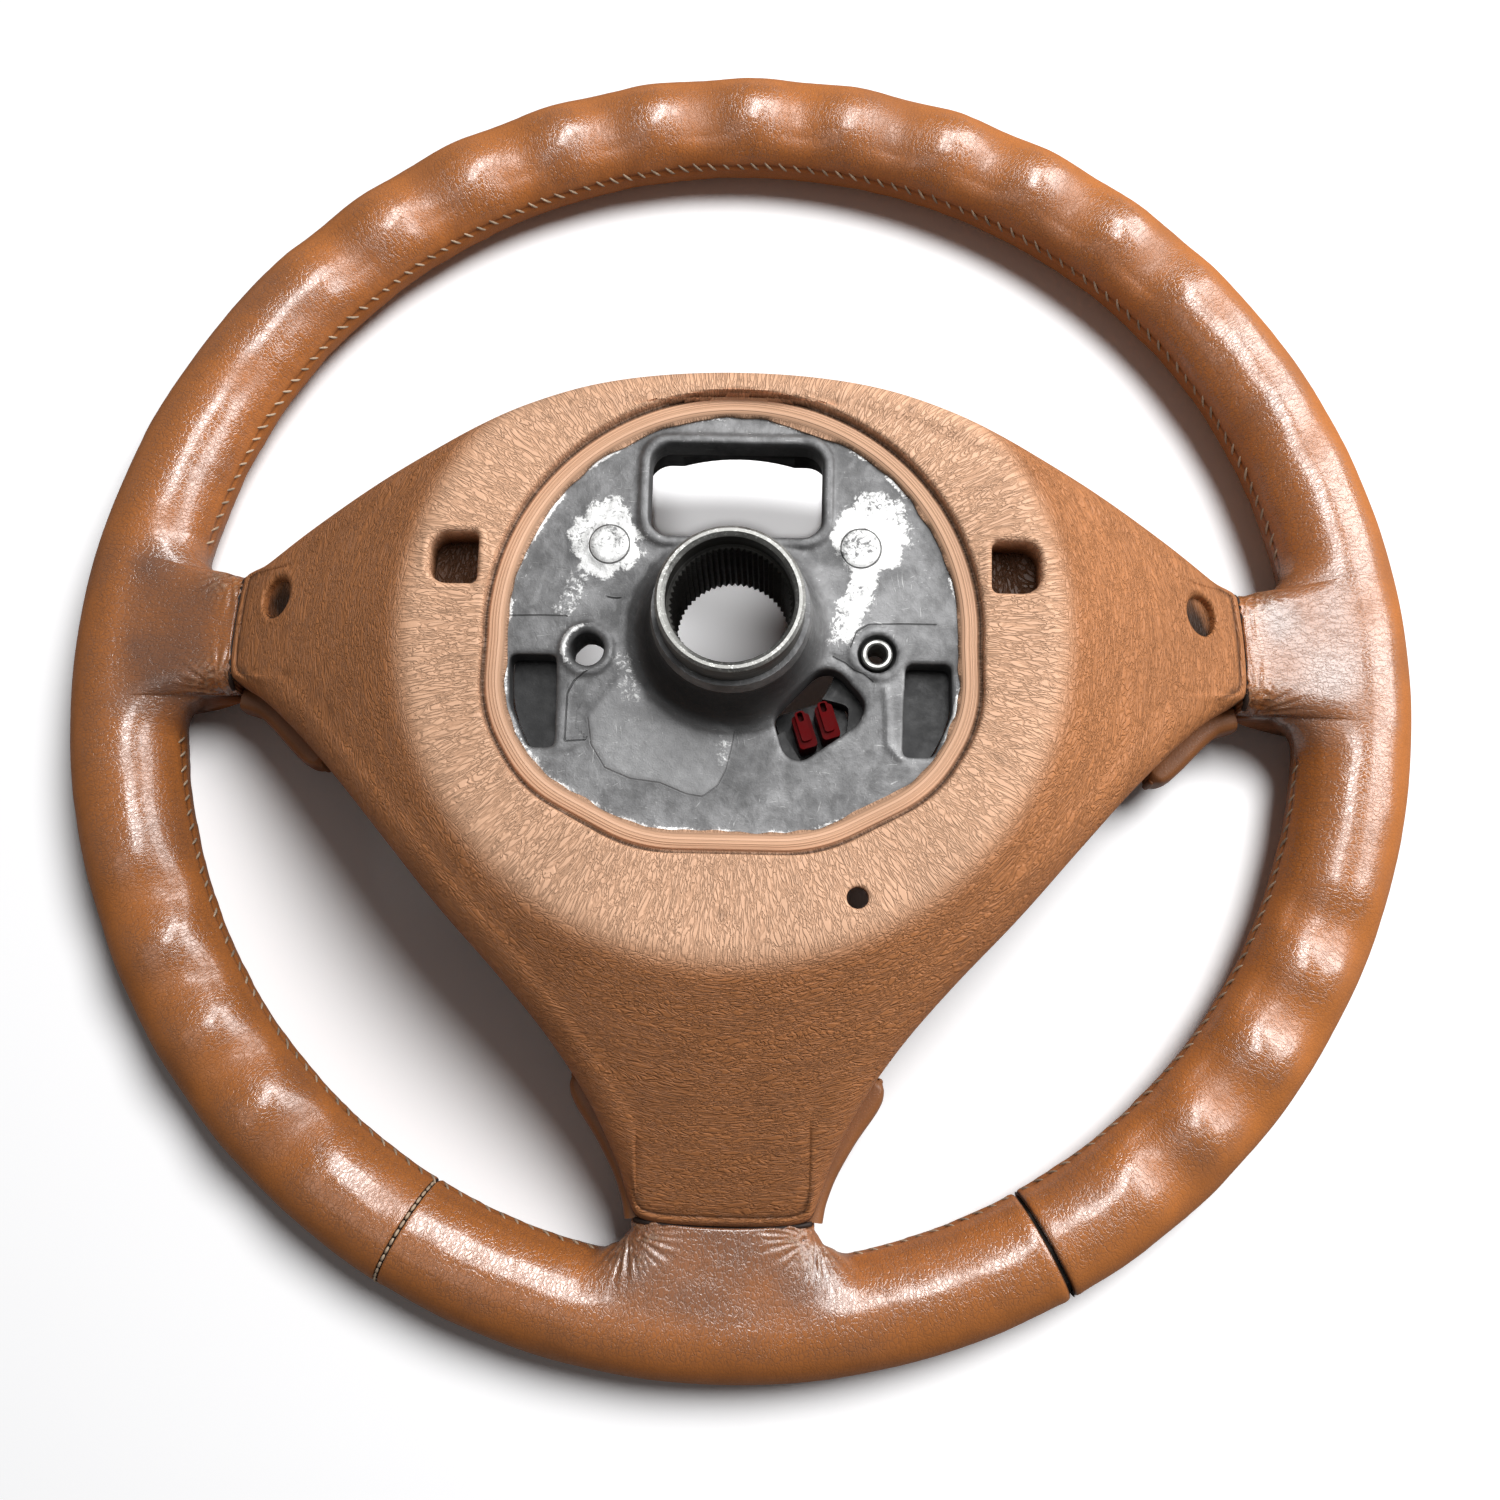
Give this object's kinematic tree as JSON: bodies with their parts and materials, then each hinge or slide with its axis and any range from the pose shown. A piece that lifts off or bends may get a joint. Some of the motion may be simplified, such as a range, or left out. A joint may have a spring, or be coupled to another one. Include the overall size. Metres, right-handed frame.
{
  "type": "car steering wheel",
  "caption": "Three-spoke car steering wheel, leather-wrapped rim with finger scallops, moulded rear cover, cast skeleton and splined hub, lying face down.",
  "frame": {"origin": "on the hub axis, in the plane that the front of the rim rests on", "axes": "+Z along the hub axis towards the steering column, +Y towards twelve o'clock, +X to the right seen from the column"},
  "size_m": [0.38, 0.38, 0.106],
  "materials": {
    "cast_alloy": "as cast, dull grey, with bright worn patches",
    "hub_steel": "turned, dull, worn bright at the end face",
    "bush_steel": "bright turned",
    "foam": "moulded polyurethane foam",
    "rim_leather": "smooth tan leather, worn to a soft shine",
    "cover_skin": "tan grained skin",
    "trim_skin": "tan moulded, fine grain",
    "black_moulding": "black moulded",
    "screw_steel": "plated",
    "red_moulding": "glossy deep red",
    "lead_sheath": "red wire sheath",
    "contact_brass": "bare",
    "spring_steel": "bright wire"
  },
  "bodies": {
    "wheel": {"armature": "cast_alloy", "splined_sleeve": "hub_steel", "locating_bush": "bush_steel", "rim_foam": "foam", "upper_leather_wrap": "rim_leather", "lower_leather_wrap": "rim_leather", "rear_cover": "cover_skin", "spoke_trim_left": "trim_skin", "spoke_trim_right": "trim_skin", "spoke_trim_bottom": "trim_skin", "module_carrier": "black_moulding", "carrier_screws": "screw_steel", "cover_screws": "screw_steel", "trim_screws": "screw_steel", "connector_block": "black_moulding", "red_terminal_inner": "red_moulding", "red_terminal_outer": "red_moulding", "horn_lead_left": "lead_sheath", "horn_lead_right": "lead_sheath", "lead_clip": "black_moulding", "switch_body_left": "black_moulding", "switch_body_right": "black_moulding", "plunger_spring_left": "spring_steel", "plunger_spring_right": "spring_steel", "fixed_contact_left": "contact_brass", "fixed_contact_right": "contact_brass"},
    "horn_plunger_left": {"horn_plunger_left": "contact_brass"},
    "horn_plunger_right": {"horn_plunger_right": "contact_brass"}
  },
  "joints": [
    {"name": "horn_press_left", "type": "slide", "parent": "wheel", "child": "horn_plunger_left", "axis": [0, 0, 1], "range_m": [0, 0.0015], "stiffness_N_per_m": 900, "springref_m": -0.002, "deforming": ["plunger_spring_left"]},
    {"name": "horn_press_right", "type": "slide", "parent": "wheel", "child": "horn_plunger_right", "axis": [0, 0, 1], "range_m": [0, 0.0015], "stiffness_N_per_m": 900, "springref_m": -0.002, "deforming": ["plunger_spring_right"]}
  ]
}
